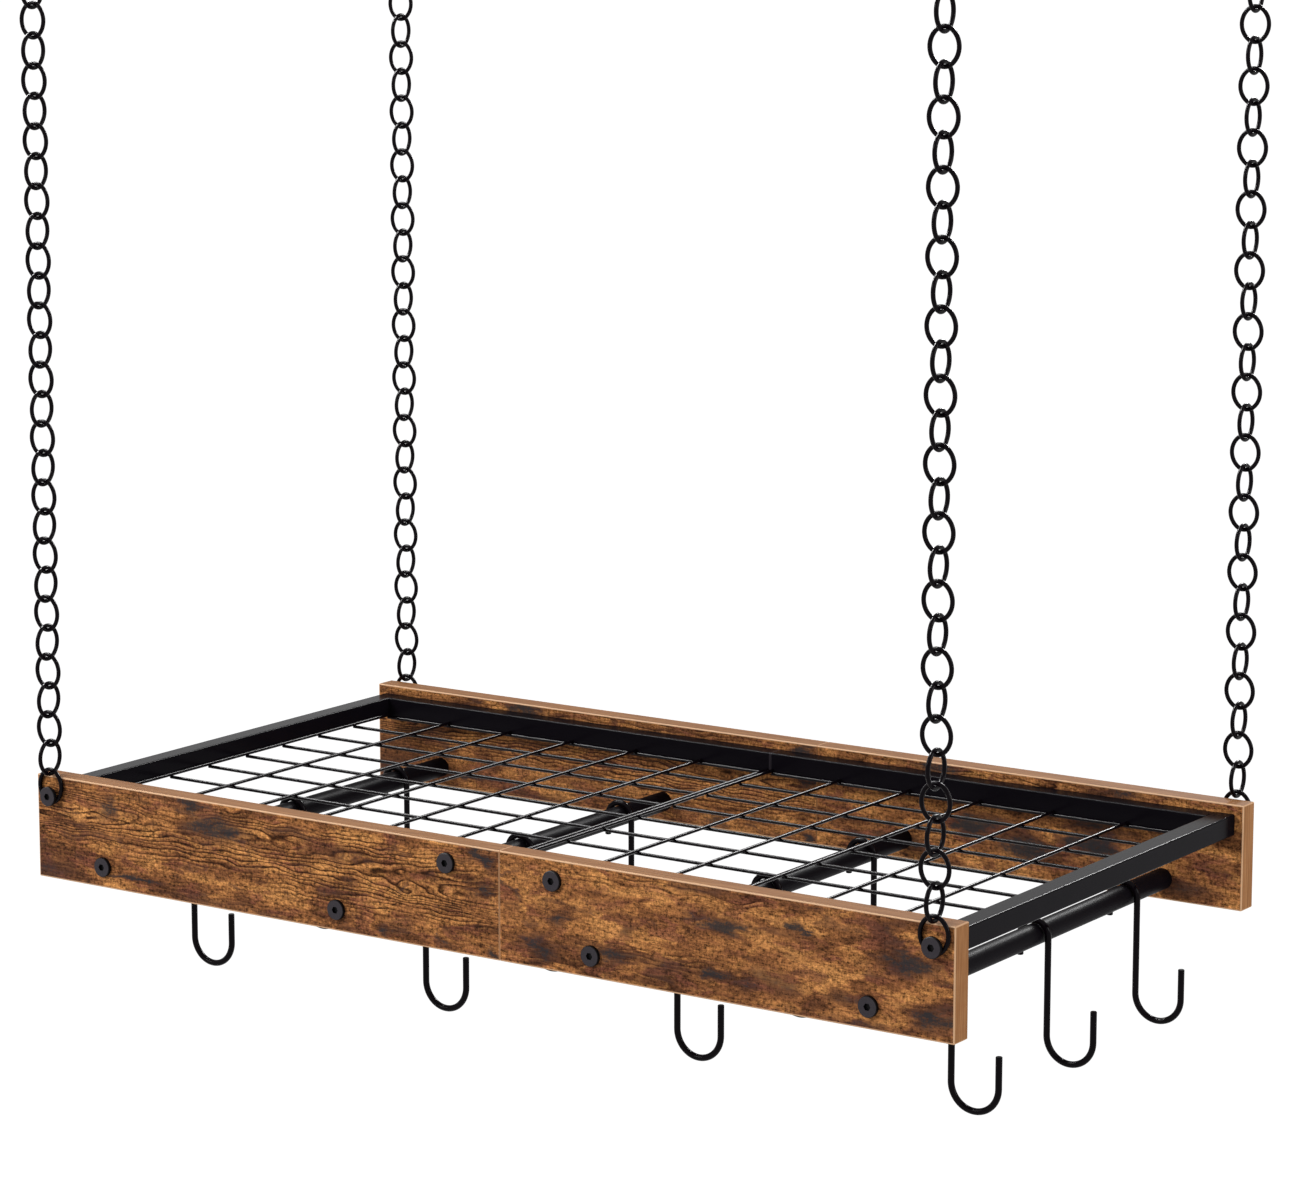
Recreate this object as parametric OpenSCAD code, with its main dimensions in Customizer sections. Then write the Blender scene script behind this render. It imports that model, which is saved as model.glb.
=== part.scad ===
// Hanging pot rack: two wooden sides, a welded grid in a tubular frame, four cross bars with S-hooks,
// and four chains that end in ceiling screw hooks.
// X runs along the rack, Y across it from front to rear, and Z up. The origin is on the ceiling,
// in the middle of the four screw hooks, so that everything hangs below it.

/* [Boards] */
// Length of each wooden side
board_l = 1010; // [900:1:1300]
// Height of the boards
board_h = 100; // [95:1:140]
// Thickness of the boards
board_t = 22; // [16:0.5:28]
// Outer depth of the rack, over both sides
rack_depth = 548; // [460:1:700]
// Distance of the joint between two boards from the middle of the rack
board_joint_x = 42; // [30:1:80]
// Chamfer along the edges of the boards
board_edge = 0.8; // [0.4:0.1:2]

/* [Frame] */
// Distance from the end of the boards to the frame
frame_inset = 9; // [0:0.5:40]
// Width and height of the square tube
rail = 20; // [18:0.5:25]
// Wall of the square tube
rail_wall = 1.5; // [1:0.1:2]
// Corner radius of the square tube
rail_round = 1.5; // [0.8:0.1:2.5]
// Distance from the top of the boards down to the frame
frame_drop = 9; // [8.5:0.1:12]
// Seam between the two halves of the frame
seam_gap = 0.5; // [0.2:0.05:0.9]
// Length of the sleeve that joins the two halves of the frame
sleeve_l = 160; // [150:1:240]
// Wall of the sleeve
sleeve_wall = 1.5; // [1:0.1:2]

/* [Grid] */
// Diameter of the grid wire
wire_d = 3.2; // [2.5:0.1:4]
// Gap between the two grid panels, at the middle of the rack
panel_gap = 3; // [2:0.1:8]
// Bays along each panel, between cross wires
cross_bays = 6; // [4:1:8]
// Bays across each panel, between long wires
long_bays = 8; // [6:1:10]
// Height of the cross wires' axis above the underside of the frame
grid_rise = 2.8; // [2:0.1:6]
// How far crossing wires sink into each other at a weld
weld_sink = 0.2; // [0.1:0.05:0.5]

/* [Cross bars] */
// Outer diameter of the cross bars
bar_d = 20; // [16:0.5:22]
// Wall of the cross bars
bar_wall = 1.5; // [1:0.1:2]
// Distance between neighbouring bars
bar_pitch = 282; // [260:1:290]
// Height of the bars' axis above the lower edge of the boards
bar_rise = 20; // [16:0.5:24]

/* [S-hooks] */
// Wire diameter of the S-hooks
hook_wire = 6; // [4:0.1:7]
// Play between the bar and the sides of the hook's loop
loop_play = 1; // [0.5:0.1:2]
// Inside width of the hook's mouth
mouth_w = 40.5; // [25:0.5:45]
// Length of the straight stem
stem_l = 89; // [60:1:110]
// Height of the straight tip
tip_l = 28.8; // [15:0.1:38]
// Length of the loop's straight tail, behind the bar
tail_l = 19.8; // [10:0.1:24]
// Chamfer round the flat ends of the wire
hook_edge = 0.5; // [0.3:0.1:1]
// Distance between the hooks on one bar
hook_pitch = 168; // [120:1:190]
// Distance of the middle hook behind the middle of the bar
hook_shift = 7; // [0:0.5:20]

/* [Chains] */
// Number of links in each chain, an odd number
link_count = 29; // [15:2:39]
// Diameter of the link wire
link_wire = 4; // [3:0.1:4.5]
// Rise from one link to the next
link_pitch = 27.8; // [26:0.1:32]
// Inside width of a link
link_inside_w = 23; // [20:0.1:25]

/* [Ceiling hooks] */
// Wire diameter of the ceiling hooks
screw_wire = 5.5; // [4.5:0.1:7]
// Radius of the ring, at the middle of its wire
ring_r = 11; // [10:0.1:16]
// Length of the neck between the collar and the ring
neck_l = 8; // [5:0.5:30]
// Diameter of the bead where the neck meets the ring
neck_bead_d = 6.5; // [6:0.1:9]
// Length of the ring's straight tip
ring_tip_l = 3; // [1:0.1:4]
// Diameter of the collar that meets the ceiling
collar_d = 16; // [12:0.5:24]
// Thickness of the collar
collar_t = 2.5; // [1.5:0.1:5]
// Length of the screw above the ceiling
screw_l = 32; // [20:1:50]

/* [Bolts] */
// Diameter of the bolt heads
head_d = 18.6; // [14:0.1:22]
// Thickness of the bolt heads
head_t = 3.5; // [2.8:0.1:5]
// Chamfer round the face of the bolt heads
head_edge = 0.6; // [0.3:0.1:1.2]
// Width across the flats of the hexagon socket
socket_w = 6; // [3:0.1:8]
// Depth of the hexagon socket
socket_depth = 2.5; // [1.5:0.1:2.7]
// Diameter of the threaded shanks
bolt_d = 6; // [5:0.1:7]
// Diameter of the shoulder that carries the last link
shoulder_d = 8; // [7:0.1:9]
// Distance of the frame bolts from the joint between two boards
joint_bolt_x = 58; // [54:0.5:65]
// Length of the threaded plugs in the ends of the tubes
plug_l = 15; // [10:0.5:25]
// Height of the nuts in the sleeves
nut_h = 5; // [4:0.1:8]
// Width of the nuts in the sleeves
nut_w = 10; // [8.5:0.1:12]

/* [Fits] */
// Gap where a link or hook sits on what carries it
seat_gap = 0.3; // [0.2:0.05:0.5]
// Gap between neighbouring links of a chain
link_gap = 0.2; // [0.1:0.05:0.4]
// Clearance around a shank in a drilled hole
hole_play = 0.25; // [0.1:0.05:0.5]
// Clearance around a shank in its thread
thread_play = 0.05; // [0.02:0.01:0.1]
// Clearance around a plug or sleeve in its tube
plug_play = 0.1; // [0.05:0.05:0.3]

/* [Hidden] */
$fn = 40;

wood = [0.55, 0.36, 0.2];
black = [0.07, 0.07, 0.08];
bolt_grey = [0.2, 0.2, 0.22];
zinc = [0.7, 0.7, 0.72];
eps = 0.01;

// Where things lie across and along the rack
inner_y = rack_depth / 2 - board_t;
chain_y = rack_depth / 2 + seat_gap + link_wire / 2;
shoulder_l = link_wire + 2 * seat_gap;
frame_l = board_l - 2 * frame_inset;
side_x = (frame_l - rail) / 2;
inner_x = frame_l / 2 - rail;
frame_bolt_xs = [board_joint_x - joint_bolt_x, board_joint_x + joint_bolt_x];
bar_xs = [for (i = [0:3]) (i - 1.5) * bar_pitch];
hook_ys = [for (i = [-1:1]) hook_shift + i * hook_pitch];

// A link's centre line is an oval: its side and end arcs meet on the long side of a 3-4-5 triangle
link_inside_l = link_pitch + link_gap;
half_l = (link_inside_l + link_wire) / 2;
half_w = (link_inside_w + link_wire) / 2;
arc_step = (half_l - half_w) / 2;
end_arc_y = 4 * arc_step;
end_arc_r = half_l - end_arc_y;
side_arc_x = 3 * arc_step;
side_arc_r = end_arc_r + 5 * arc_step;
arc_join = atan2(4, 3);

// Heights, from the ceiling down
neck_end_z = -collar_t - neck_l;
ring_z = neck_end_z - ring_r;
saddle_z = ring_z - ring_r;
top_link_z = saddle_z + screw_wire / 2 + seat_gap - link_inside_l / 2;
bottom_link_z = top_link_z - (link_count - 1) * link_pitch;
rail_z = bottom_link_z - link_inside_l / 2 + seat_gap + shoulder_d / 2;
board_top = rail_z + rail / 2 + frame_drop;
bar_z = board_top - board_h + bar_rise;
cross_wire_z = rail_z - rail / 2 + grid_rise;
long_wire_z = cross_wire_z - wire_d + weld_sink;

// The hook's loop goes round the bar with play, and rests on top of it
loop_r = bar_d / 2 + loop_play + hook_wire / 2;
loop_z = bar_z + bar_d / 2 + seat_gap - (loop_r - hook_wire / 2);
mouth_r = (mouth_w + hook_wire) / 2;

// Corners and sides as [name, direction along X, direction along Y]
CORNERS = [["front_left", -1, -1], ["front_right", 1, -1], ["rear_left", -1, 1], ["rear_right", 1, 1]];
SIDES = [["front", -1], ["rear", 1]];
ENDS = [["left", -1], ["right", 1]];
HOOK_NAMES = ["front", "middle", "rear"];

// A part drawn around the Z axis, brought to the chain at a corner
module at_chain(c) {
  translate([c[1] * side_x, c[2] * chain_y, 0]) children();
}

// A part drawn for the front right corner, brought to any corner
module to_corner(c) {
  mirror([c[1] < 0 ? 1 : 0, 0, 0])
    mirror([0, c[2] > 0 ? 1 : 0, 0])
      children();
}

// A part drawn for the front, brought to either side
module to_side(dir_y) {
  mirror([0, dir_y > 0 ? 1 : 0, 0]) children();
}

// A part drawn in the XY plane, stood up in the XZ plane or the YZ plane
module stand_xz() { rotate([90, 0, 0]) children(); }
module stand_yz() { rotate([90, 0, 90]) children(); }

// Turns a cylinder or profile drawn along Z to point along +Y
module along_y() { rotate([-90, 0, 0]) children(); }

// Wire bent to an arc in the XY plane
module bent_wire(r, d, from, to) {
  rotate_extrude(angle = to - from, start = from)
    translate([r, 0])
      circle(d = d);
}

// ---------------------------------------------------------------- chains

module link_flat() {
  for (turn = [0, 180])
    rotate([0, 0, turn]) {
      translate([0, end_arc_y, 0]) bent_wire(end_arc_r, link_wire, arc_join, 180 - arc_join);
      translate([-side_arc_x, 0, 0]) bent_wire(side_arc_r, link_wire, 0, arc_join);
      translate([-side_arc_x, 0, 0]) bent_wire(side_arc_r, link_wire, -arc_join, 0);
    }
}

// Odd links stand along the rack and even ones across it
module chain_link(n) {
  color(black)
    translate([0, 0, bottom_link_z + (n - 1) * link_pitch])
      if (n % 2 == 1) stand_xz() link_flat();
      else stand_yz() link_flat();
}

module chain_strand() {
  for (n = [2:link_count - 1]) chain_link(n);
}

// The ring starts under the neck and runs round to a tip, open towards the middle of the rack
module ceiling_hook(dir_y) {
  point_l = screw_wire;
  color(black)
    rotate([0, 0, dir_y < 0 ? 0 : 180]) {
      cylinder(h = screw_l - point_l, d = screw_wire);
      translate([0, 0, screw_l - point_l])
        cylinder(h = point_l, d1 = screw_wire, d2 = screw_wire / 4);
      translate([0, 0, -collar_t])
        cylinder(h = collar_t, d = collar_d);
      translate([0, 0, neck_end_z]) {
        cylinder(h = neck_l, d = screw_wire);
        sphere(d = neck_bead_d);
      }
      translate([0, 0, ring_z])
        stand_yz() {
          bent_wire(ring_r, screw_wire, 90, 360);
          translate([ring_r, 0, 0])
            along_y() cylinder(h = ring_tip_l, d = screw_wire);
          translate([ring_r, ring_tip_l, 0])
            sphere(d = screw_wire);
        }
    }
}

// ---------------------------------------------------------------- boards

// A box from [0, 0, 0] to the size, with every edge chamfered
module chamfered_box(size, c) {
  module outline(a, b) {
    polygon([[c, 0], [a - c, 0], [a, c], [a, b - c], [a - c, b], [c, b], [0, b - c], [0, c]]);
  }
  intersection() {
    linear_extrude(size[2]) outline(size[0], size[1]);
    translate([0, size[1], 0]) rotate([90, 0, 0]) linear_extrude(size[1]) outline(size[0], size[2]);
    rotate([90, 0, 90]) linear_extrude(size[0]) outline(size[1], size[2]);
  }
}

// A hole through a front board, from front to rear
module board_hole(x, z) {
  translate([x, -rack_depth / 2 - eps, z])
    along_y() cylinder(h = board_t + 2 * eps, d = bolt_d + 2 * hole_play);
}

// One of the two boards of the front side
module board(end) {
  x0 = end < 0 ? -board_l / 2 : board_joint_x;
  x1 = end < 0 ? board_joint_x : board_l / 2;
  color(wood)
    difference() {
      translate([x0, -rack_depth / 2, board_top - board_h])
        chamfered_box([x1 - x0, board_t, board_h], board_edge);
      board_hole(end * side_x, rail_z);
      board_hole(frame_bolt_xs[end < 0 ? 0 : 1], rail_z);
      for (i = end < 0 ? [0, 1] : [2, 3]) board_hole(bar_xs[i], bar_z);
    }
}

// ---------------------------------------------------------------- frame

module rounded_square(w, r) {
  square([w, w - 2 * r], center = true);
  square([w - 2 * r, w], center = true);
  for (x = [-1, 1], y = [-1, 1])
    translate([x * (w / 2 - r), y * (w / 2 - r)]) circle(r = r);
}

// Square tube along Z, centred on it
module square_tube(w, wall, length, r) {
  linear_extrude(length)
    difference() {
      rounded_square(w, r);
      square(w - 2 * wall, center = true);
    }
}

module side_rail(end) {
  color(black)
    translate([end * side_x, -inner_y, rail_z])
      along_y() square_tube(rail, rail_wall, 2 * inner_y, rail_round);
}

// A long rail of the front, from a side rail to the seam in the middle
module long_rail(end) {
  color(black)
    difference() {
      translate([end < 0 ? -inner_x : seam_gap / 2, -inner_y + rail / 2, rail_z])
        rotate([90, 0, 90]) square_tube(rail, rail_wall, inner_x - seam_gap / 2, rail_round);
      for (x = frame_bolt_xs)
        translate([x, -inner_y - eps, rail_z])
          along_y() cylinder(h = rail / 2, d = bolt_d + 2 * hole_play);
    }
}

// The sleeve runs inside both front rails, centred on the joint between the boards
module sleeve() {
  w = rail - 2 * rail_wall - 2 * plug_play;
  color(zinc)
    difference() {
      translate([board_joint_x - sleeve_l / 2, -inner_y + rail / 2, rail_z])
        rotate([90, 0, 90]) square_tube(w, sleeve_wall, sleeve_l, rail_wall / 2);
      for (x = frame_bolt_xs)
        translate([x, -inner_y, rail_z])
          along_y() cylinder(h = rail / 2, d = bolt_d + 2 * hole_play);
    }
}

// ---------------------------------------------------------------- grid

// The right panel: long wires below, cross wires on top of them, welded where they meet
module grid_panel() {
  x0 = panel_gap / 2 + wire_d / 2;
  x1 = inner_x - wire_d / 2;
  y1 = inner_y - rail - wire_d / 2;
  color(black) {
    for (i = [0:cross_bays])
      translate([x0 + (x1 - x0) * i / cross_bays, -inner_y + rail, cross_wire_z])
        along_y() cylinder(h = 2 * (inner_y - rail), d = wire_d);
    for (i = [0:long_bays])
      translate([x0, -y1 + 2 * y1 * i / long_bays, long_wire_z])
        rotate([0, 90, 0]) cylinder(h = inner_x - x0, d = wire_d);
  }
}

// ---------------------------------------------------------------- cross bars and S-hooks

module bar(i) {
  color(black)
    translate([bar_xs[i], -inner_y, bar_z])
      along_y() difference() {
        cylinder(h = 2 * inner_y, d = bar_d);
        translate([0, 0, -eps]) cylinder(h = 2 * inner_y + 2 * eps, d = bar_d - 2 * bar_wall);
      }
}

// The loop goes over the bar, and the mouth opens towards +X
module s_hook(i, j) {
  color(black)
    translate([bar_xs[i], hook_ys[j], loop_z])
      stand_xz() {
        bent_wire(loop_r, hook_wire, 0, 180);
        translate([-loop_r, 0, 0]) wire_end(tail_l);
        translate([loop_r, 0, 0]) straight_wire(stem_l);
        translate([loop_r + mouth_r, -stem_l, 0]) bent_wire(mouth_r, hook_wire, 180, 360);
        translate([loop_r + 2 * mouth_r, -stem_l, 0]) rotate([0, 0, 180]) wire_end(tip_l);
      }
}

// Hook wire that runs down from the origin, along -Y
module straight_wire(length) {
  rotate([90, 0, 0]) cylinder(h = length, d = hook_wire);
}

// The same with a flat, chamfered end
module wire_end(length) {
  straight_wire(length - hook_edge);
  translate([0, hook_edge - length, 0])
    rotate([90, 0, 0])
      cylinder(h = hook_edge, d1 = hook_wire, d2 = hook_wire - 2 * hook_edge);
}

// ---------------------------------------------------------------- bolts, plugs and nuts

// A bolt along +Y: the board's face is at the origin, and the head stands off by the shoulder
module bolt(length, shoulder) {
  face_z = -shoulder - head_t;
  along_y() difference() {
    union() {
      translate([0, 0, face_z])
        cylinder(h = head_edge, d1 = head_d - 2 * head_edge, d2 = head_d);
      translate([0, 0, face_z + head_edge])
        cylinder(h = head_t - head_edge, d = head_d);
      if (shoulder > 0) translate([0, 0, -shoulder]) cylinder(h = shoulder, d = shoulder_d);
      cylinder(h = length, d = bolt_d);
    }
    translate([0, 0, face_z - eps])
      cylinder(h = socket_depth + eps, d = socket_w / cos(30), $fn = 6);
  }
}

module chain_bolts() {
  color(bolt_grey)
    for (c = CORNERS) to_corner(c)
      translate([side_x, -rack_depth / 2, rail_z]) bolt(board_t + plug_l - 2, shoulder_l);
}

module frame_bolts() {
  color(bolt_grey)
    for (s = SIDES, x = frame_bolt_xs) to_side(s[1])
      translate([x, -rack_depth / 2, rail_z])
        bolt(board_t + rail_wall + plug_play + sleeve_wall + nut_h, 0);
}

module bar_bolts() {
  color(bolt_grey)
    for (s = SIDES, x = bar_xs) to_side(s[1])
      translate([x, -rack_depth / 2, bar_z]) bolt(board_t + plug_l - 2, 0);
}

module rail_end_plugs() {
  w = rail - 2 * rail_wall - 2 * plug_play;
  color(zinc)
    for (c = CORNERS) to_corner(c)
      translate([side_x, -inner_y, rail_z])
        along_y() difference() {
          translate([0, 0, plug_l / 2]) cube([w, w, plug_l], center = true);
          translate([0, 0, -eps]) cylinder(h = plug_l + 2 * eps, d = bolt_d + 2 * thread_play);
        }
}

module bar_end_plugs() {
  color(zinc)
    for (s = SIDES, x = bar_xs) to_side(s[1])
      translate([x, -inner_y, bar_z])
        along_y() difference() {
          cylinder(h = plug_l, d = bar_d - 2 * bar_wall - 2 * plug_play);
          translate([0, 0, -eps]) cylinder(h = plug_l + 2 * eps, d = bolt_d + 2 * thread_play);
        }
}

module sleeve_nuts() {
  seat_y = rail_wall + plug_play + sleeve_wall;
  color(zinc)
    for (s = SIDES, x = frame_bolt_xs) to_side(s[1])
      translate([x, -inner_y + seat_y, rail_z])
        along_y() difference() {
          translate([0, 0, nut_h / 2]) cube([nut_w, nut_w, nut_h], center = true);
          translate([0, 0, -eps]) cylinder(h = nut_h + 2 * eps, d = bolt_d + 2 * thread_play);
        }
}

// ---------------------------------------------------------------- the whole rack

for (c = CORNERS) {
  at_chain(c) ceiling_hook(c[2]);
  at_chain(c) chain_link(link_count);
  at_chain(c) chain_strand();
  at_chain(c) chain_link(1);
}
for (s = SIDES, e = ENDS) {
  to_side(s[1]) board(e[1]);
  to_side(s[1]) long_rail(e[1]);
}
for (e = ENDS) {
  side_rail(e[1]);
  mirror([e[1] < 0 ? 1 : 0, 0, 0]) grid_panel();
}
for (s = SIDES) {
  to_side(s[1]) sleeve();
}
for (i = [0:3]) {
  bar(i);
}
for (i = [0:3], j = [0:2]) {
  s_hook(i, j);
}
chain_bolts();
frame_bolts();
bar_bolts();
rail_end_plugs();
sleeve_nuts();
bar_end_plugs();
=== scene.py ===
"""A hanging pot rack in a plain studio: procedural materials, soft light and a camera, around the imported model."""

import math

import bpy
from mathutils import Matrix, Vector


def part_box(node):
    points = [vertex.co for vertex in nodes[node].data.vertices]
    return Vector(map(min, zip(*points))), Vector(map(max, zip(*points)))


# ---------------------------------------------------------------- driving values

# Camera at the photograph's view: place in metres, angles in degrees
CAMERA_PLACE = (2.131, -3.092, 0.043)
CAMERA_AZIMUTH = 34.44
CAMERA_PITCH = 9.23
CAMERA_LENS_MM = 114.07
CAMERA_SENSOR_MM = 36
CAMERA_SHIFT_Y = -0.05

# Every lamp points at the middle of the rack. For each: its name, its place, its width and height in metres, its
# power in watts, and whether it gives nothing but highlights.
RACK_MIDDLE = (0, 0, -0.85)
LAMPS = [
    ("key", (-2.6, -3.4, 1.6), (1.6, 1.6), 128, False),
    ("side", (4.2, 0.6, 0.9), (1.6, 1.6), 70, False),
    ("overhead_sheen", (-1.45, 0.0, 1.4), (0.35, 1.8), 260, True),
    ("back_sheen", (0.0, 2.4, 0.95), (0.35, 1.3), 130, True),
]

# Strength of the light that reaches the object from all round, and of the background where it is seen
AMBIENT = 0.6
BACKGROUND = 1.0
WHITE = (1, 1, 1, 1)

# Height of the floor under the ceiling, low enough for a camera that looks up at the rack, and how far it reaches
FLOOR_Z = -7.5
FLOOR_HALF = 400.0
# Share of the light that the floor sends back, and the glow that makes it white where it is seen
FLOOR_ALBEDO = 0.8
FLOOR_GLOW = 0.58

MM_PER_M = 1000

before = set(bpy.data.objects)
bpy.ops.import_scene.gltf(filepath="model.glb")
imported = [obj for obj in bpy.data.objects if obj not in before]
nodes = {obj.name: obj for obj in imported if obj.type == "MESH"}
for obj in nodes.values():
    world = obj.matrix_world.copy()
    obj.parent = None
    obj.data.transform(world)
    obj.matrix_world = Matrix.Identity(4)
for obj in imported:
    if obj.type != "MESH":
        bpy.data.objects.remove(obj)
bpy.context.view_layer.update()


def srgb(red, green, blue):
    """The scene colour of an 8-bit display colour."""
    def linear(channel):
        c = channel / 255
        return c / 12.92 if c <= 0.04045 else ((c + 0.055) / 1.055) ** 2.4
    return (linear(red), linear(green), linear(blue), 1.0)


# ---------------------------------------------------------------- colours

# Wood from its dark places to its golden ones, and its reddish places
GROUND_STOPS = [
    (0.34, srgb(92, 57, 36)),
    (0.45, srgb(127, 81, 49)),
    (0.54, srgb(156, 103, 60)),
    (0.64, srgb(183, 126, 73)),
]
RED_GROUND = srgb(116, 66, 54)
# Growth rings: the pale wood of spring and the dark line of autumn
EARLY_WOOD = srgb(206, 146, 84)
LATE_WOOD = srgb(44, 22, 10)
THIN_STAIN = srgb(76, 51, 44)
THICK_STAIN = srgb(42, 45, 49)
BANDING_STOPS = [
    (0.30, srgb(124, 82, 48)),
    (0.50, srgb(154, 107, 68)),
    (0.72, srgb(180, 130, 86)),
]
RED_BANDING = srgb(150, 98, 60)
# Pale colour of the painted highlight along the boards' edges
PAINTED_EDGE_HIGHLIGHT = srgb(232, 188, 148)

# Black coats, each in two shades that lie in patches
RAIL_COLOURS = (srgb(11, 9, 13), srgb(17, 14, 19))
BAR_COLOURS = (srgb(12, 9, 13), srgb(18, 15, 19))
WIRE_COLOURS = (srgb(9, 5, 9), srgb(14, 9, 13))
# Grey of the painted highlight along the seam in the middle of the long rails
SEAM_HIGHLIGHT_GREY = srgb(74, 68, 74)
# Bolts: black kept as painted shade on rims, chamfers and sockets, and greys for a painted highlight on the flat
# face
BOLT_BLACK = srgb(9, 8, 10)
BOLT_HIGHLIGHT_GREYS = (srgb(48, 44, 49), srgb(60, 56, 60))
ZINC_STOPS = [
    (0.3, srgb(150, 152, 158)),
    (0.7, srgb(198, 200, 204)),
]

# ---------------------------------------------------------------- node building


class Graph:
    """The nodes of one material. An input is either another node's socket or a constant."""

    def __init__(self, name):
        self.material = bpy.data.materials.new(name)
        self.material.use_nodes = True
        self.tree = self.material.node_tree
        self.shader = self.tree.nodes["Principled BSDF"]

    def feed(self, socket, value):
        if isinstance(value, bpy.types.NodeSocket):
            self.tree.links.new(value, socket)
        else:
            socket.default_value = value

    def add(self, kind, inputs, output=0, **settings):
        node = self.tree.nodes.new(kind)
        for key, value in settings.items():
            setattr(node, key, value)
        for key, value in inputs.items():
            self.feed(node.inputs[key], value)
        return node.outputs[output]

    def math(self, operation, *values, clamp=False):
        inputs = dict(enumerate(values))
        return self.add("ShaderNodeMath", inputs, operation=operation, use_clamp=clamp)

    def vector(self, operation, *values, output=0):
        inputs = dict(enumerate(values))
        return self.add("ShaderNodeVectorMath", inputs, output, operation=operation)

    def split(self, vector, axis):
        return self.add("ShaderNodeSeparateXYZ", {0: vector}, axis)

    def distance(self, a, b):
        return self.math("ABSOLUTE", self.math("SUBTRACT", a, b))

    def step(self, value, low, high):
        """0 below low, 1 above high, and smooth between."""
        inputs = {"Value": value, "From Min": low, "From Max": high, "To Min": 0.0, "To Max": 1.0}
        return self.add("ShaderNodeMapRange", inputs, interpolation_type="SMOOTHSTEP")

    def fall(self, value, low, high):
        """1 below low, 0 above high, and smooth between."""
        return self.math("SUBTRACT", 1.0, self.step(value, low, high))

    def noise(self, place, size, seed=0.0, detail=3.0, roughness=0.5, coloured=False):
        """Noise from 0 to 1 whose features are about size millimetres along each axis."""
        scale = [1 / s for s in size]
        at = self.vector("MULTIPLY_ADD", place, scale, (seed, seed * 0.7, -seed * 1.3))
        inputs = {"Vector": at, "Scale": 1.0, "Detail": detail, "Roughness": roughness}
        return self.add("ShaderNodeTexNoise", inputs, 1 if coloured else 0)

    def ramp(self, value, stops):
        node = self.tree.nodes.new("ShaderNodeValToRGB")
        self.feed(node.inputs[0], value)
        elements = node.color_ramp.elements
        while len(elements) < len(stops):
            elements.new(0.5)
        for element, (position, colour) in zip(elements, stops):
            element.position = position
            element.color = colour
        return node.outputs[0]

    def mix(self, factor, a, b, mode="MIX"):
        node = self.tree.nodes.new("ShaderNodeMix")
        node.data_type = "RGBA"
        node.blend_type = mode
        self.feed(node.inputs[0], factor)
        self.feed(node.inputs[6], a)
        self.feed(node.inputs[7], b)
        return node.outputs[2]

    def grey(self, value):
        return self.add("ShaderNodeCombineXYZ", {0: value, 1: value, 2: value})

    def coordinates(self, kind):
        return self.add("ShaderNodeTexCoord", {}, kind)

    def millimetres(self):
        """The place on the object, in millimetres."""
        inputs = {0: self.coordinates("Object"), "Scale": MM_PER_M}
        return self.add("ShaderNodeVectorMath", inputs, operation="SCALE")

    def bump(self, height, strength, distance):
        inputs = {"Height": height, "Strength": strength, "Distance": distance}
        self.feed(self.shader.inputs["Normal"], self.add("ShaderNodeBump", inputs))

    def set(self, **values):
        for key, value in values.items():
            self.feed(self.shader.inputs[key.replace("_", " ")], value)


# ---------------------------------------------------------------- wood

BOARD_TOP_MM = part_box("board_front_left")[1].z * MM_PER_M
BOARD_HEIGHT_MM = BOARD_TOP_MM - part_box("board_front_left")[0].z * MM_PER_M

# Noises of the wood: how large their features are along x, y and z in millimetres, what each adds to the board's
# seed, its detail and its roughness
WOOD_NOISES = {
    "wander": ((46, 60, 15), 0, 1.0, 0.5),
    "tear": ((14, 60, 5), 2, 4.0, 0.7),
    "slow_bend": ((190, 60, 44), 0, 1.0, 0.5),
    "ripple": ((26, 40, 8), 3, 1.0, 0.5),
    "fibre": ((11, 6, 1.5), 5, 3.0, 0.6),
    "sawn": ((1.7, 6, 7), 6, 2.0, 0.5),
    "mottle": ((3.6, 5, 2.4), 7, 2.0, 0.9),
    "broken_lines": ((50, 40, 9), 11, 2.0, 0.5),
    "tone": ((46, 50, 17), 13, 3.0, 0.6),
    "tint": ((30, 50, 14), 17, 2.0, 0.6),
    "soil": ((36, 40, 12), 23, 3.0, 0.6),
    "streak": ((60, 1.2, 60), 29, 4.0, 0.6),
    "upright": ((1.2, 1.2, 50), 31, 4.0, 0.6),
}
# How far the wander and the tear move a place from one extreme to the other, in millimetres
WANDER_SPAN = (60, 0, 14)
TEAR_SPAN = (44, 0, 15)

# Distance between two growth rings where nothing bends them, and by how many rings they bend
RING_GAP_MM = 4.7
SLOW_BEND_RINGS = 2.2
RIPPLE_RINGS = 0.9
# Where in each ring, from 0 to 1, the early wood ends, and where the late wood begins and ends
EARLY_ENDS = (0.1, 0.4)
LATE_BEGINS = (0.5, 0.82)
LATE_ENDS = (0.86, 0.97)
# How much of a ring's colour covers the ground
EARLY_COVER = 0.35
LATE_COVER = 0.95
# Share of a line's strength that is left where it is broken
BROKEN_SHARE = 0.3

# Light and shade of the grain: the weights of the fibres, the specks and the marks of the saw, what is taken off
# their sum, and the least light that is left
FIBRE_LIGHT = 2.0
MOTTLE_LIGHT = 4.2
SAWN_LIGHT = 1.3
GRAIN_OFFSET = 2.7
DARKEST_GRAIN = 0.2

# Stains: the amount of thin soil all over the face, where a drawn stain fades, in its half sizes, and how much of
# the wood's colour a full stain covers
SOIL_AMOUNT = 0.6
STAIN_FADES = (0.1, 1.7)
STAIN_COVER = 0.93

# Painted highlight on the edges: the distances in millimetres over which it fades, and how much colour it covers
RIM_HIGHLIGHT_FADES = (0.9, 1.7)
JOINT_HIGHLIGHT_FADES = (0.6, 1.2)
END_HIGHLIGHT_FADES = (0.7, 1.5)
RIM_HIGHLIGHT = 0.85
END_HIGHLIGHT = 0.6

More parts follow.
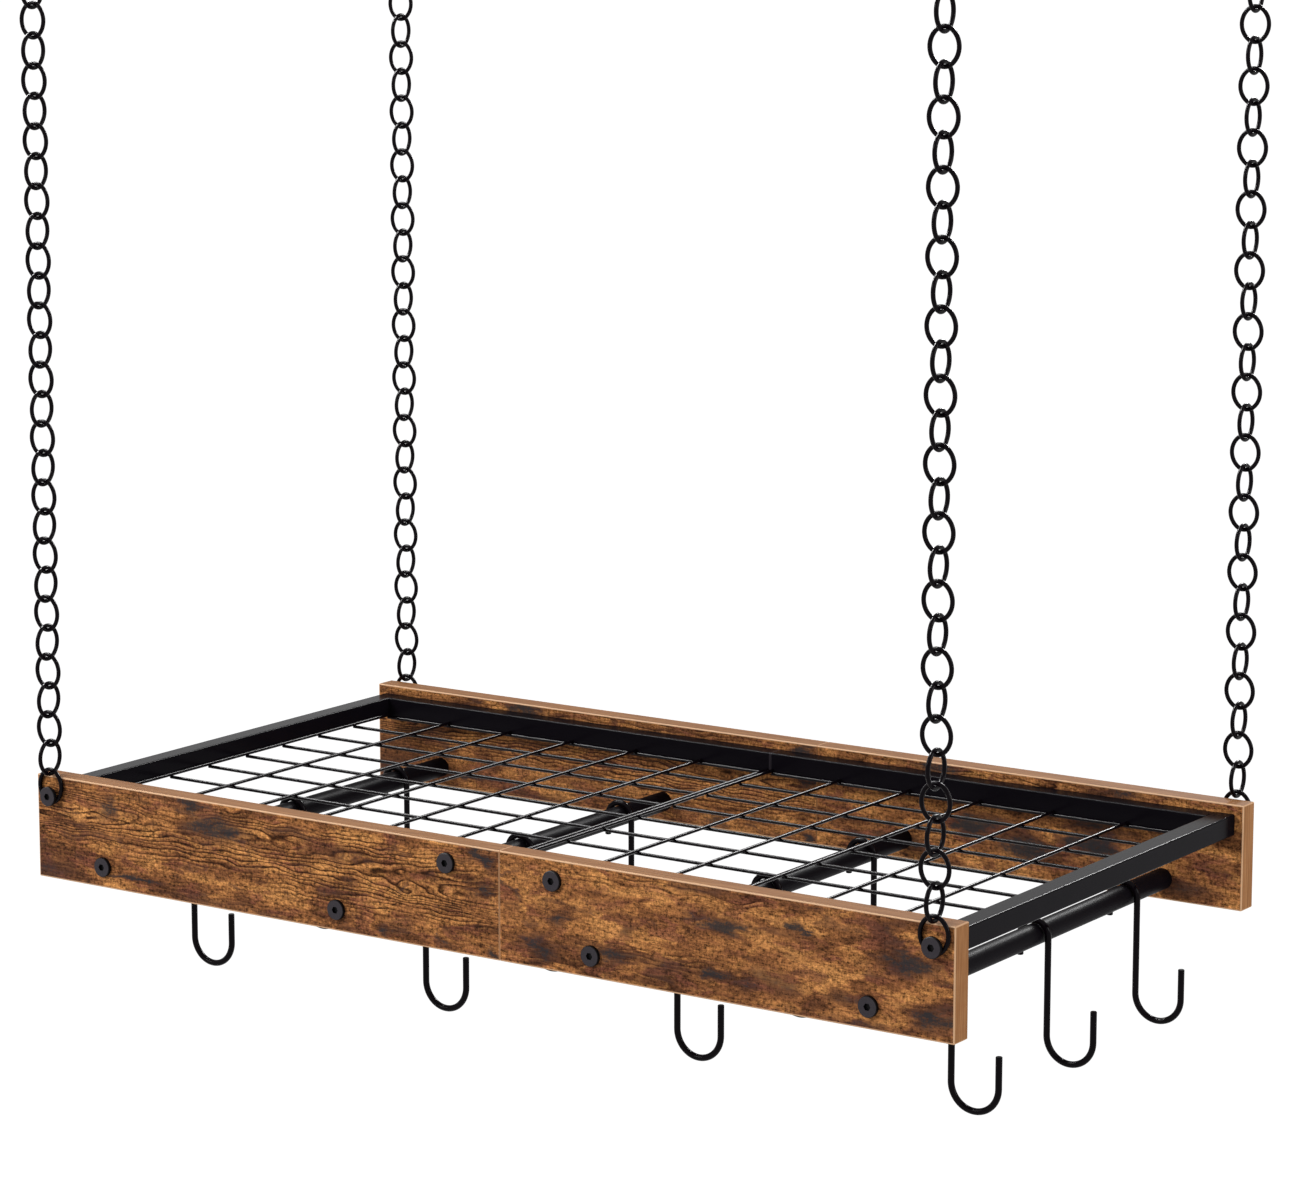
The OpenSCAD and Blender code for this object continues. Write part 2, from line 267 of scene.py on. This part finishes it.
# Relief of the face in metres
WOOD_RELIEF = 0.0004

# How deep an oval on a board's face reaches into the board
FACE_DEPTH_MM = 9
# What an oval with an amount of 1 adds to the strength of the rings, and to the tone of the ground
LINE_GAIN = 1.3
TONE_GAIN = 0.07

# What is drawn on a board's face is a list of ovals: x of the middle, its distance below the board's top edge, half
# the length and half the height, in millimetres, and an amount. Eyes bend the growth rings round them, and their
# amount is in rings. Lines are where the rings show.
CATHEDRAL_EYES = [
    (-505, 31, 128, 12, 6.5),
    (-235, 25, 60, 9, 3.2),
    (50, 36, 125, 17, 9.0),
    (-61, 49, 10, 7, 2.4),
]
CATHEDRAL_LINES = [
    (-280, 48, 190, 12, 1.0),
    (-60, 46, 90, 26, 1.0),
    (-470, 26, 90, 16, 0.9),
    (-200, 16, 110, 12, 0.8),
    (-120, 68, 110, 8, 0.5),
]
CALM_EYES = [
    (297, 4, 18, 8, 2.6),
    (180, 96, 90, 12, 2.6),
    (400, 60, 60, 14, 2.0),
]
CALM_LINES = [
    (180, 8, 90, 8, 0.6),
    (297, 4, 24, 10, 0.9),
    (220, 70, 90, 8, 0.5),
    (150, 96, 120, 8, 0.6),
]
# Golden places, and darker ones with an amount below zero
CATHEDRAL_TONES = [
    (-243, 24, 38, 8, 1.3),
    (-145, 39, 45, 7, 0.7),
    (-44, 54, 66, 15, 1.1),
    (-10, 72, 52, 10, 0.7),
    (-462, 32, 32, 7, 1.0),
    (-413, 60, 24, 7, 1.1),
    (-492, 82, 62, 20, -2.2),
    (-500, 48, 34, 16, -1.7),
    (-326, 92, 70, 9, -1.0),
    (-453, 45, 34, 8, -1.4),
    (-305, 28, 45, 14, -0.9),
    (-151, 80, 28, 13, -1.0),
    (30, 22, 18, 22, -0.8),
]
BLOTCHED_TONES = [
    (180, 14, 95, 12, 1.7),
    (57, 12, 24, 12, 1.6),
    (193, 58, 34, 11, 1.3),
    (371, 56, 46, 18, 1.7),
    (471, 70, 24, 11, 1.5),
    (113, 85, 11, 8, 1.2),
    (368, 18, 30, 8, 1.3),
    (222, 69, 18, 5, 0.8),
    (130, 48, 30, 10, 0.7),
    (300, 50, 40, 10, 0.6),
    (456, 31, 32, 15, -1.5),
    (66, 53, 28, 8, -1.1),
    (86, 86, 30, 13, -1.3),
    (240, 82, 90, 13, -2.0),
    (120, 92, 60, 8, -1.3),
    (213, 29, 42, 10, -0.6),
    (492, 80, 16, 14, -1.2),
    (420, 97, 60, 7, -1.0),
]
STORMY_TONES = [
    (120, 40, 60, 14, 1.2),
    (240, 30, 40, 8, 0.9),
    (400, 66, 40, 10, 1.2),
    (480, 30, 24, 20, 0.8),
    (222, 55, 34, 14, -1.4),
    (290, 66, 40, 14, -1.3),
    (354, 52, 40, 18, -1.2),
    (75, 28, 26, 10, -1.0),
]
# Dark stains
CATHEDRAL_STAINS = [
    (-316, 6, 18, 9, 1.1),
    (-290, 24, 28, 13, 1.05),
    (-259, 33, 24, 3, 0.8),
    (-417, 22, 13, 12, 0.9),
    (26, 9, 15, 11, 1.2),
    (24, 38, 12, 9, 0.9),
    (-79, 92, 9, 8, 0.9),
    (-25, 92, 7, 5, 0.8),
    (34, 95, 10, 6, 1.1),
    (-388, 86, 36, 3, 1.1),
    (-495, 92, 36, 12, 0.7),
    (-300, 95, 50, 5, 0.6),
    (-445, 44, 18, 5, 0.6),
    (-61, 49, 3, 5, 0.7),
]
BLOTCHED_STAINS = [
    (282, 34, 19, 7, 1.3),
    (256, 29, 16, 4, 0.8),
    (361, 25, 9, 7, 1.3),
    (330, 31, 30, 4, 0.5),
    (462, 37, 20, 11, 1.1),
    (447, 16, 9, 14, 0.7),
    (106, 52, 16, 8, 0.9),
    (87, 82, 18, 13, 1.0),
    (160, 76, 26, 9, 0.9),
    (217, 77, 24, 8, 0.7),
    (272, 77, 12, 6, 1.0),
    (298, 78, 10, 8, 0.7),
    (330, 73, 20, 10, 0.7),
    (402, 78, 16, 7, 0.7),
    (492, 82, 18, 12, 1.0),
    (416, 96, 30, 5, 0.8),
    (50, 30, 5, 20, 0.8),
    (176, 51, 10, 7, 0.7),
    (258, 5, 26, 5, 0.6),
]
STORMY_STAINS = [
    (222, 55, 26, 11, 1.3),
    (282, 70, 26, 13, 1.2),
    (349, 39, 34, 8, 0.9),
    (354, 58, 28, 14, 1.2),
    (75, 28, 22, 9, 1.0),
    (182, 4, 24, 6, 1.0),
    (374, 6, 26, 6, 0.9),
    (430, 30, 18, 12, 0.8),
    (140, 84, 30, 9, 0.9),
    (440, 88, 30, 8, 0.7),
]


class BoardGraph(Graph):
    """One board's wood. A place is (x, y, distance below the board's top edge), in millimetres."""

    def __init__(self, board, seed):
        super().__init__("wood_" + board)
        self.seed = seed
        self.start, self.end = (corner * MM_PER_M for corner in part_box(board))
        scale = (MM_PER_M, MM_PER_M, -MM_PER_M)
        self.place = self.vector("MULTIPLY_ADD", self.coordinates("Object"), scale, (0, 0, BOARD_TOP_MM))
        normal = self.coordinates("Normal")
        facing = self.math("ABSOLUTE", self.split(normal, 1))
        self.on_face = self.step(facing, 0.8, 0.9)
        self.on_face_or_chamfer = self.step(facing, 0.4, 0.6)
        self.on_end = self.step(self.math("ABSOLUTE", self.split(normal, 0)), 0.5, 0.7)

        # The growth rings follow the bent place, and the tones and stains the torn one
        self.bent = self.moved(self.place, "wander", WANDER_SPAN)
        self.torn = self.moved(self.bent, "tear", TEAR_SPAN)
        self.fibre = self.wood_noise("fibre", self.place)
        self.sawn = self.wood_noise("sawn", self.place)
        self.mottle = self.wood_noise("mottle", self.place)
        self.tint = self.wood_noise("tint", self.torn)

    def wood_noise(self, kind, place, coloured=False):
        size, seed_step, detail, roughness = WOOD_NOISES[kind]
        return self.noise(place, size, self.seed + seed_step, detail, roughness, coloured)

    def moved(self, place, kind, span):
        """A place that a noise moves, from half the span to one side to half the span to the other."""
        wander = self.vector("SUBTRACT", self.wood_noise(kind, self.place, coloured=True), (0.5, 0.5, 0.5))
        return self.vector("MULTIPLY_ADD", wander, span, place)

    def around(self, place, x, below, half_length, half_height):
        """The way from the middle of an oval on the face, in half sizes."""
        middle = (x, self.start.y, below)
        half_sizes = (half_length, FACE_DEPTH_MM, half_height)
        scale = [1 / half for half in half_sizes]
        offset = [-m / half for m, half in zip(middle, half_sizes)]
        return self.vector("MULTIPLY_ADD", place, scale, offset)

    def fading(self, way):
        """1 in the middle of an oval, and nearly 0 at twice its size."""
        squared = self.vector("DOT_PRODUCT", way, way, output=1)
        return self.math("POWER", math.e, self.math("MULTIPLY", squared, -1.0))

    def growth_rings(self, eyes, lines, faintest_line):
        """Early and late wood: each ring is a level of a height field that the eyes bend."""
        rings = self.math("MULTIPLY", self.split(self.bent, 2), 1 / RING_GAP_MM)
        rings = self.math("MULTIPLY_ADD", self.wood_noise("slow_bend", self.place), SLOW_BEND_RINGS, rings)
        rings = self.math("MULTIPLY_ADD", self.wood_noise("ripple", self.place), RIPPLE_RINGS, rings)
        for *oval, count in eyes:
            way = self.around(self.place, *oval)
            pull = self.math("MULTIPLY", self.split(way, 2), self.fading(way))
            rings = self.math("MULTIPLY_ADD", pull, -count, rings)
        phase = self.math("FRACT", rings)
        early = self.fall(phase, *EARLY_ENDS)
        late = self.math("MULTIPLY", self.step(phase, *LATE_BEGINS), self.fall(phase, *LATE_ENDS))

        strength = faintest_line
        for *oval, amount in lines:
            near = self.fading(self.around(self.place, *oval))
            strength = self.math("MULTIPLY_ADD", near, amount * LINE_GAIN, strength)
        whole = self.step(self.wood_noise("broken_lines", self.place), 0.35, 0.5)
        share = self.math("MULTIPLY_ADD", whole, 1 - BROKEN_SHARE, BROKEN_SHARE)
        strength = self.math("MULTIPLY", strength, share, clamp=True)
        return self.math("MULTIPLY", early, strength), self.math("MULTIPLY", late, strength)

    def printed(self, early, late, tones, redness):
        """The face's wood: golden and dark places, rings and fine grain."""
        tone = self.wood_noise("tone", self.torn)
        for *oval, amount in tones:
            near = self.fading(self.around(self.torn, *oval))
            tone = self.math("MULTIPLY_ADD", near, amount * TONE_GAIN, tone)
        red = self.math("MULTIPLY", self.step(self.tint, 0.52, 0.64), redness)
        ground = self.mix(red, self.ramp(tone, GROUND_STOPS), RED_GROUND)
        ground = self.mix(self.math("MULTIPLY", early, EARLY_COVER), ground, EARLY_WOOD)
        ground = self.mix(self.math("MULTIPLY", late, LATE_COVER), ground, LATE_WOOD)
        grain = self.math("MULTIPLY", self.mottle, MOTTLE_LIGHT)
        grain = self.math("MULTIPLY_ADD", self.fibre, FIBRE_LIGHT, grain)
        grain = self.math("MULTIPLY_ADD", self.sawn, SAWN_LIGHT, grain)
        light = self.math("MAXIMUM", self.math("SUBTRACT", grain, GRAIN_OFFSET), DARKEST_GRAIN)
        return self.mix(1.0, ground, self.grey(light), "MULTIPLY")

    def stained(self, colour, stains):
        """Stains with ragged rims on a colour: purple-brown where thin, charcoal where thick."""
        soil = self.math("MULTIPLY", self.step(self.wood_noise("soil", self.torn), 0.52, 0.7), SOIL_AMOUNT)
        for *oval, amount in stains:
            away = self.vector("LENGTH", self.around(self.torn, *oval), output=1)
            drawn = self.math("MULTIPLY", self.fall(away, *STAIN_FADES), amount)
            soil = self.math("MAXIMUM", soil, drawn)
        ragged = self.math("MULTIPLY_ADD", self.mottle, 2.2, -0.15)
        soil = self.math("MULTIPLY", soil, ragged, clamp=True)
        stain = self.mix(self.step(soil, 0.4, 1.0), THIN_STAIN, THICK_STAIN)
        return self.mix(self.math("MULTIPLY", soil, STAIN_COVER), colour, stain)

    def banding(self):
        """Straight-grained veneer of the edges and the ends, along the board or upright."""
        streak = self.wood_noise("streak", self.place)
        upright = self.wood_noise("upright", self.place)
        veneer = self.ramp(self.mix(self.on_end, streak, upright), BANDING_STOPS)
        red = self.math("MULTIPLY", self.step(self.tint, 0.45, 0.7), 0.35)
        return self.mix(red, veneer, RED_BANDING)

    def painted_highlight(self, colour, joint_highlight):
        """A colour with a painted highlight on the chamfers and a hair's breadth of the faces and ends beside them.
        """
        joint_x = min((self.start.x, self.end.x), key=abs)
        outer_x = self.start.x + self.end.x - joint_x
        along = self.split(self.place, 0)
        below = self.split(self.place, 2)
        from_edge = self.math("MINIMUM", below, self.math("SUBTRACT", BOARD_HEIGHT_MM, below))
        from_rim = self.math("MINIMUM", from_edge, self.distance(along, outer_x))
        from_joint = self.distance(along, joint_x)
        # Painted highlight: a pale colour laid along the rims, the joint and the ends' edges, where light catches
        # them
        rim_highlight = self.math("MULTIPLY", self.fall(from_rim, *RIM_HIGHLIGHT_FADES), RIM_HIGHLIGHT)
        by_joint = self.math("MULTIPLY", self.fall(from_joint, *JOINT_HIGHLIGHT_FADES), joint_highlight)
        face_highlight = self.math("MULTIPLY", self.math("MAXIMUM", rim_highlight, by_joint), self.on_face_or_chamfer)
        end_highlight = self.math("MULTIPLY", self.fall(from_edge, *END_HIGHLIGHT_FADES), self.on_end)
        end_highlight = self.math("MULTIPLY", end_highlight, END_HIGHLIGHT)
        return self.mix(self.math("MAXIMUM", face_highlight, end_highlight), colour, PAINTED_EDGE_HIGHLIGHT)


def wood(board, seed, eyes, lines, tones, stains, faintest_line, redness, joint_highlight):
    """Printed rustic board: wavy growth rings, fibres, sawn mottling and charcoal stains, with tan edge banding."""
    g = BoardGraph(board, seed)
    early, late = g.growth_rings(eyes, lines, faintest_line)
    face = g.stained(g.printed(early, late, tones, redness), stains)
    # The edges take a painted highlight
    colour = g.painted_highlight(g.mix(g.on_face, g.banding(), face), joint_highlight)
    height = g.math("SUBTRACT", g.math("MULTIPLY", g.fibre, 0.5), g.math("MULTIPLY", late, 0.8))
    height = g.math("MULTIPLY", g.math("MULTIPLY_ADD", g.mottle, 0.3, height), g.on_face)
    g.bump(height, 0.35, WOOD_RELIEF)
    roughness = g.math("MULTIPLY_ADD", g.mottle, 0.16, 0.46)
    g.set(Base_Color=colour, Roughness=roughness, Specular_IOR_Level=0.04)
    return g.material


# ---------------------------------------------------------------- metal

# Relief of the orange peel and of the patches on the bolts, in metres
METAL_RELIEF = 0.0002
# By how much the peel and the patches of a coat each change its roughness, and how large the patches are
GLOSS_SPREAD = 0.08
COAT_PATCH_MM = 35
BOLT_PATCH_MM = 3
SPANGLE_MM = 6
# Distances in millimetres from the seam between which its painted highlight fades
SEAM_HIGHLIGHT_FADES = (0.8, 1.8)


def coated_metal(name, colours, roughness, specular, grain_mm, peel_strength, seam_highlight=0.0):
    """Powder-coated steel: nearly black, with fine orange peel, uneven gloss, and a painted highlight at the seam in
    the middle.
    """
    g = Graph(name)
    place = g.millimetres()
    peel = g.noise(place, (grain_mm,) * 3, seed=2.0, roughness=0.6)
    patches = g.noise(place, (COAT_PATCH_MM,) * 3, seed=5.0, roughness=0.6)
    base = g.mix(patches, *colours)
    # Painted highlight: a pale grey line at the seam, standing in for the light its edges catch
    if seam_highlight:
        by_seam = g.fall(g.math("ABSOLUTE", g.split(place, 0)), *SEAM_HIGHLIGHT_FADES)
        base = g.mix(g.math("MULTIPLY", by_seam, seam_highlight), base, SEAM_HIGHLIGHT_GREY)
    gloss = g.math("MULTIPLY_ADD", peel, GLOSS_SPREAD, roughness - GLOSS_SPREAD)
    gloss = g.math("MULTIPLY_ADD", patches, GLOSS_SPREAD, gloss)
    g.bump(peel, peel_strength, METAL_RELIEF)
    g.set(Base_Color=base, Roughness=gloss, Specular_IOR_Level=specular)
    return g.material


def bolt_metal(name, face_mm):
    """Blackened bolt whose flat face is a grey painted highlight. Its rim, chamfer and socket stay black as painted
    shade.
    """
    g = Graph(name)
    place = g.millimetres()
    away = g.math("ABSOLUTE", g.split(place, 1))
    # Painted highlight on the flat face only; the rim, the chamfer and the socket keep black as painted shade
    painted_highlight = g.step(away, face_mm - 0.25, face_mm - 0.05)
    patches = g.noise(place, (BOLT_PATCH_MM,) * 3, seed=5.0, roughness=0.6)
    colour = g.mix(painted_highlight, BOLT_BLACK, g.mix(patches, *BOLT_HIGHLIGHT_GREYS))
    g.bump(patches, 0.1, METAL_RELIEF)
    g.set(Base_Color=colour, Roughness=0.5, Specular_IOR_Level=0.1)
    return g.material


def bare_metal(name):
    """Zinc-plated steel of the pieces inside the tubes."""
    g = Graph(name)
    spangle = g.noise(g.millimetres(), (SPANGLE_MM,) * 3, seed=4.0, detail=4.0, roughness=0.6)
    roughness = g.math("MULTIPLY_ADD", spangle, 0.25, 0.28)
    g.set(Base_Color=g.ramp(spangle, ZINC_STOPS), Metallic=1.0, Roughness=roughness)
    return g.material


# ---------------------------------------------------------------- the pieces' materials

# The boards' patterns: wide arched rings on the left, blotches at the front right and dark clouds at the rear right
CATHEDRAL = (CATHEDRAL_EYES, CATHEDRAL_LINES, CATHEDRAL_TONES, CATHEDRAL_STAINS)
BLOTCHED = (CALM_EYES, CALM_LINES, BLOTCHED_TONES, BLOTCHED_STAINS)
STORMY = (CALM_EYES, CALM_LINES, STORMY_TONES, STORMY_STAINS)

# For each board: its seed, its pattern, how dark its faintest growth rings are, how red its reddish places are, and
# how pale the painted highlight at its joint is
BOARDS = [
    ("board_front_left", 2.3, CATHEDRAL, 0.3, 0.5, 0.5),
    ("board_front_right", 9.1, BLOTCHED, 0.1, 0.5, 0.3),
    ("board_rear_left", 2.3, CATHEDRAL, 0.3, 0.5, 0.1),
    ("board_rear_right", 15.7, STORMY, 0.15, 0.6, 0.0),
]

# For each coat: its colours, roughness, specular level, grain in millimetres, strength of its orange peel, and the
# painted highlight at the seam
frame_black = coated_metal("black_powder_coat", RAIL_COLOURS, 0.2, 0.022, 0.7, 0.12)
long_rail_black = coated_metal("black_rail_coat", RAIL_COLOURS, 0.2, 0.022, 0.7, 0.12, 0.35)
bar_black = coated_metal("black_bar_coat", BAR_COLOURS, 0.45, 0.02, 0.7, 0.05)
wire_black = coated_metal("black_wire_coat", WIRE_COLOURS, 0.15, 0.05, 0.5, 0.03)
chain_black = coated_metal("black_chain_coat", WIRE_COLOURS, 0.18, 0.05, 0.8, 0.06)
board_bolt_black = bolt_metal("board_bolt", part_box("frame_bolts")[1].y * MM_PER_M)
chain_bolt_black = bolt_metal("chain_bolt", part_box("chain_bolts")[1].y * MM_PER_M)
zinc = bare_metal("zinc_plate")

# A piece takes the first material whose list has the start of the piece's name
MATERIALS = [((board,), wood(board, seed, *pattern, *board_looks)) for board, seed, pattern, *board_looks in BOARDS]
MATERIALS += [
    (("chain_bolts",), chain_bolt_black),
    (("frame_bolts", "bar_bolts"), board_bolt_black),
    (("sleeve", "rail_end", "bar_end"), zinc),
    (("chain_", "top_link", "bottom_link", "ceiling_hook"), chain_black),
    (("hook_", "grid_"), wire_black),
    (("front_rail", "rear_rail"), long_rail_black),
    (("bar_",), bar_black),
    (("side_rail",), frame_black),
]

for node_name, piece in nodes.items():
    fitting = next(material for starts, material in MATERIALS if node_name.startswith(starts))
    for slot in piece.material_slots:
        slot.material = fitting

# ---------------------------------------------------------------- floor, light and background


def seen_directly(tree):
    """1 for a ray that shows the background itself: from the camera, or through gloss or glass."""
    path = tree.nodes.new("ShaderNodeLightPath")
    seen = path.outputs["Is Camera Ray"]
    for kind in ("Is Glossy Ray", "Is Transmission Ray"):
        either = tree.nodes.new("ShaderNodeMath")
        either.operation = "MAXIMUM"
        tree.links.new(seen, either.inputs[0])
        tree.links.new(path.outputs[kind], either.inputs[1])
        seen = either.outputs[0]
    return seen


def plain_background(tree, strength):
    node = tree.nodes.new("ShaderNodeBackground")
    node.inputs["Color"].default_value = WHITE
    node.inputs["Strength"].default_value = strength
    return node.outputs[0]


def make_world():
    world = bpy.data.worlds.new("studio")
    bpy.context.scene.world = world
    world.use_nodes = True
    tree = world.node_tree
    tree.nodes.clear()
    mix = tree.nodes.new("ShaderNodeMixShader")
    output = tree.nodes.new("ShaderNodeOutputWorld")
    tree.links.new(seen_directly(tree), mix.inputs[0])
    tree.links.new(plain_background(tree, AMBIENT), mix.inputs[1])
    tree.links.new(plain_background(tree, BACKGROUND), mix.inputs[2])
    tree.links.new(mix.outputs[0], output.inputs[0])


def make_floor():
    mesh = bpy.data.meshes.new("floor")
    corners = [(-1, -1), (1, -1), (1, 1), (-1, 1)]
    mesh.from_pydata([(x * FLOOR_HALF, y * FLOOR_HALF, FLOOR_Z) for x, y in corners], [], [(0, 1, 2, 3)])
    floor = bpy.data.objects.new("floor", mesh)
    bpy.context.scene.collection.objects.link(floor)
    material = bpy.data.materials.new("pale_floor")
    material.use_nodes = True
    tree = material.node_tree
    shader = tree.nodes["Principled BSDF"]
    shader.inputs["Base Color"].default_value = (FLOOR_ALBEDO, FLOOR_ALBEDO, FLOOR_ALBEDO, 1)
    shader.inputs["Roughness"].default_value = 1.0
    shader.inputs["Specular IOR Level"].default_value = 0.0
    shader.inputs["Emission Color"].default_value = WHITE
    glow = tree.nodes.new("ShaderNodeMath")
    glow.operation = "MULTIPLY"
    tree.links.new(seen_directly(tree), glow.inputs[0])
    glow.inputs[1].default_value = FLOOR_GLOW
    tree.links.new(glow.outputs[0], shader.inputs["Emission Strength"])
    mesh.materials.append(material)


def make_lamp(name, place, size, power, highlights_only):
    data = bpy.data.lights.new(name, "AREA")
    data.shape = "RECTANGLE"
    data.size, data.size_y = size
    data.energy = power
    lamp = bpy.data.objects.new(name, data)
    lamp.location = place
    forward_x, forward_y, forward_z = (t - p for t, p in zip(RACK_MIDDLE, place))
    yaw = math.atan2(forward_y, forward_x)
    drop = math.atan2(-forward_z, math.hypot(forward_x, forward_y))
    lamp.rotation_euler = (math.pi / 2 - drop, 0, yaw - math.pi / 2)
    bpy.context.scene.collection.objects.link(lamp)
    lamp.visible_diffuse = not highlights_only


def make_camera():
    data = bpy.data.cameras.new("camera")
    data.sensor_width = CAMERA_SENSOR_MM
    data.lens = CAMERA_LENS_MM
    data.shift_y = CAMERA_SHIFT_Y
    camera = bpy.data.objects.new("camera", data)
    camera.location = CAMERA_PLACE
    camera.rotation_euler = (math.radians(90 - CAMERA_PITCH), 0, math.radians(CAMERA_AZIMUTH))
    bpy.context.scene.collection.objects.link(camera)
    bpy.context.scene.camera = camera


make_world()
make_floor()
for lamp_values in LAMPS:
    make_lamp(*lamp_values)
make_camera()
bpy.context.scene.view_settings.view_transform = "Standard"
